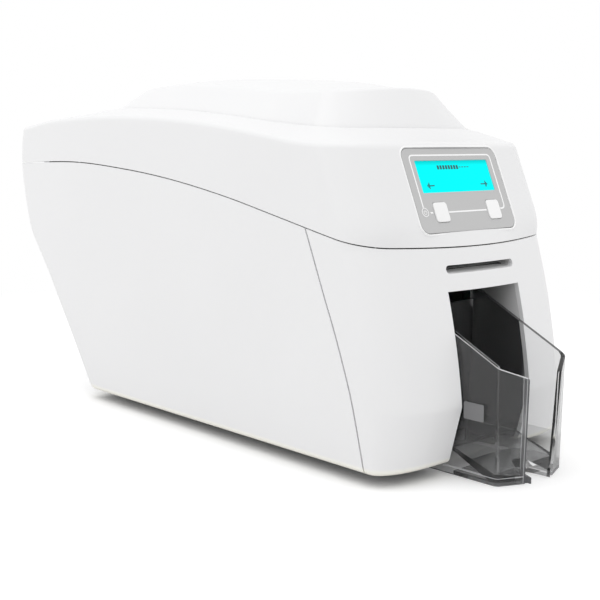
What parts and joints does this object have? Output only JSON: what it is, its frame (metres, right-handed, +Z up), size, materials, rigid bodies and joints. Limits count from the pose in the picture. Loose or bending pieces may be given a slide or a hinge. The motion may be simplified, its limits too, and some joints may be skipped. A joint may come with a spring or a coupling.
{
  "type": "id card printer",
  "caption": "Desktop card printer with a hinged lid, display and keys, hand-feed slot, clear pull-out card hopper and a belt-driven roller path inside.",
  "frame": {"origin": "middle of the whole machine's footprint, on the table under its rubber feet", "axes": "+Z is up, -Y is the front with the card hopper, and +X is the right side as seen by someone facing the front"},
  "size_m": [0.166, 0.4543, 0.2317],
  "materials": {
    "white_casing": "smooth white moulded plastic with a low sheen",
    "foot_rubber": "soft black rubber",
    "black_plastic": "fine textured black plastic",
    "smoky_clear": "smoky clear moulded plastic",
    "blank_label": "plain grey patch",
    "panel_grey": "light grey membrane",
    "cyan_screen": "lit cyan display window",
    "button_white": "near-white key cap",
    "circuit_board": "green coated board",
    "frame_plastic": "plain moulded plastic",
    "plated_steel": "zinc plated sheet steel",
    "ground_steel": "ground steel bar",
    "bush_plastic": "natural acetal",
    "roller_rubber": "ground dark rubber",
    "idler_grey": "grey plastic roller",
    "cleaner_blue": "tacky blue roller",
    "belt_rubber": "black fabric-backed belt",
    "motor_dark": "dark motor case",
    "spool_blue": "translucent blue core",
    "fresh_film": "glossy coloured film",
    "used_film": "used dark film",
    "head_metal": "finned aluminium"
  },
  "bodies": {
    "root": {"base_tray": "white_casing", "rubber_feet": "foot_rubber", "left_side_cover": "white_casing", "right_side_cover": "white_casing", "front_cover": "white_casing", "rear_panel": "white_casing", "chute_liner": "white_casing", "chute_back": "black_plastic", "hinge_brackets": "plated_steel", "hinge_pins": "ground_steel", "left_chassis_plate": "plated_steel", "right_chassis_plate": "plated_steel", "tie_rods": "ground_steel", "card_guide": "black_plastic", "card_feeder": "black_plastic", "shaft_bushes": "bush_plastic", "drive_belt": "belt_rubber", "drive_motor": "motor_dark", "takeup_motor": "motor_dark", "power_supply": "plated_steel", "main_board": "circuit_board", "power_inlet": "black_plastic", "data_sockets": "plated_steel"},
    "lid": {"lid_cover": "white_casing", "top_cover": "white_casing", "display_panel": "panel_grey", "display_screen": "cyan_screen", "panel_board": "circuit_board", "lid_frame": "frame_plastic", "hinge_leaves": "plated_steel", "head_bracket": "plated_steel"},
    "hopper": {"card_hopper": "smoky_clear", "hopper_label": "blank_label"},
    "left_key": {"left_button": "button_white"},
    "right_key": {"right_button": "button_white"},
    "gate": {"card_gate": "black_plastic"},
    "motor_rotor": {"motor_pulley": "bush_plastic"},
    "exit_drive": {"exit_shaft": "ground_steel", "exit_roller": "roller_rubber", "exit_pulley": "bush_plastic"},
    "platen_drive": {"platen_shaft": "ground_steel", "platen_roller": "roller_rubber", "platen_pulley": "bush_plastic"},
    "feed_drive": {"feed_shaft": "ground_steel", "feed_roller": "roller_rubber", "feed_pulley": "bush_plastic"},
    "pick_drive": {"pick_shaft": "ground_steel", "pick_roller": "roller_rubber", "pick_pulley": "bush_plastic"},
    "exit_pressure": {"exit_idler": "idler_grey"},
    "feed_pressure": {"feed_idler": "idler_grey"},
    "cleaner": {"cleaning_roller": "cleaner_blue"},
    "takeup": {"takeup_spool": "spool_blue", "takeup_film": "used_film"},
    "takeup_rotor": {"takeup_pinion": "bush_plastic"},
    "supply": {"supply_spool": "spool_blue", "supply_film": "fresh_film"},
    "head": {"print_head": "head_metal"},
    "rocker": {"power_switch": "black_plastic"}
  },
  "joints": [
    {"name": "lid_hinge", "type": "hinge", "parent": "root", "child": "lid", "pos_m": [0, 0.22275, 0.174], "axis": [-1, 0, 0], "range_deg": [0, 70]},
    {"name": "left_key_press", "type": "slide", "parent": "lid", "child": "left_key", "axis": [0, 0.9222, -0.3867], "range_m": [0, 0.0006], "stiffness_N_per_m": 400, "springref_m": -0.001},
    {"name": "right_key_press", "type": "slide", "parent": "lid", "child": "right_key", "axis": [0, 0.9222, -0.3867], "range_m": [0, 0.0006], "stiffness_N_per_m": 400, "springref_m": -0.001},
    {"name": "hopper_slide", "type": "slide", "parent": "root", "child": "hopper", "axis": [0, -1, 0], "range_m": [0, 0.06]},
    {"name": "gate_swing", "type": "hinge", "parent": "root", "child": "gate", "pos_m": [0, -0.11375, 0.112], "axis": [1, 0, 0], "range_deg": [0, 20]},
    {"name": "motor_spin", "type": "hinge", "parent": "root", "child": "motor_rotor", "pos_m": [0, -0.04275, 0.066], "axis": [1, 0, 0], "continuous": true},
    {"name": "exit_spin", "type": "hinge", "parent": "root", "child": "exit_drive", "pos_m": [0, -0.10075, 0.109], "axis": [1, 0, 0], "continuous": true},
    {"name": "platen_spin", "type": "hinge", "parent": "root", "child": "platen_drive", "pos_m": [0, -0.07475, 0.109], "axis": [1, 0, 0], "continuous": true},
    {"name": "feed_spin", "type": "hinge", "parent": "root", "child": "feed_drive", "pos_m": [0, 0.00725, 0.109], "axis": [1, 0, 0], "continuous": true},
    {"name": "pick_spin", "type": "hinge", "parent": "root", "child": "pick_drive", "pos_m": [0, 0.06925, 0.109], "axis": [1, 0, 0], "continuous": true},
    {"name": "exit_idler_spin", "type": "hinge", "parent": "root", "child": "exit_pressure", "pos_m": [0, -0.10075, 0.1243], "axis": [1, 0, 0], "continuous": true},
    {"name": "feed_idler_spin", "type": "hinge", "parent": "root", "child": "feed_pressure", "pos_m": [0, 0.00725, 0.1243], "axis": [1, 0, 0], "continuous": true},
    {"name": "cleaner_spin", "type": "hinge", "parent": "root", "child": "cleaner", "pos_m": [0, 0.03325, 0.1253], "axis": [1, 0, 0], "continuous": true},
    {"name": "takeup_spin", "type": "hinge", "parent": "root", "child": "takeup", "pos_m": [0, -0.10475, 0.146], "axis": [1, 0, 0], "continuous": true},
    {"name": "pinion_spin", "type": "hinge", "parent": "root", "child": "takeup_rotor", "pos_m": [0, -0.12395, 0.146], "axis": [1, 0, 0], "continuous": true},
    {"name": "supply_spin", "type": "hinge", "parent": "root", "child": "supply", "pos_m": [0, -0.03675, 0.146], "axis": [1, 0, 0], "continuous": true},
    {"name": "head_lift", "type": "slide", "parent": "lid", "child": "head", "axis": [0, 0, 1], "range_m": [0, 0.003], "stiffness_N_per_m": 400, "springref_m": -0.003},
    {"name": "power_rocker", "type": "hinge", "parent": "root", "child": "rocker", "pos_m": [-0.014, 0.21649, 0.136], "axis": [-1, 0, 0], "range_deg": [0, 16]}
  ],
  "couplings": [
    {"joint": "exit_spin", "follows": "motor_spin", "ratio": 0.625},
    {"joint": "platen_spin", "follows": "motor_spin", "ratio": 0.625},
    {"joint": "feed_spin", "follows": "motor_spin", "ratio": 0.625},
    {"joint": "pick_spin", "follows": "motor_spin", "ratio": 0.625},
    {"joint": "exit_idler_spin", "follows": "motor_spin", "ratio": -0.71429},
    {"joint": "feed_idler_spin", "follows": "motor_spin", "ratio": -0.71429},
    {"joint": "cleaner_spin", "follows": "motor_spin", "ratio": -0.625},
    {"joint": "pinion_spin", "follows": "takeup_spin", "ratio": -3},
    {"joint": "supply_spin", "follows": "takeup_spin", "ratio": 0.55556}
  ]
}
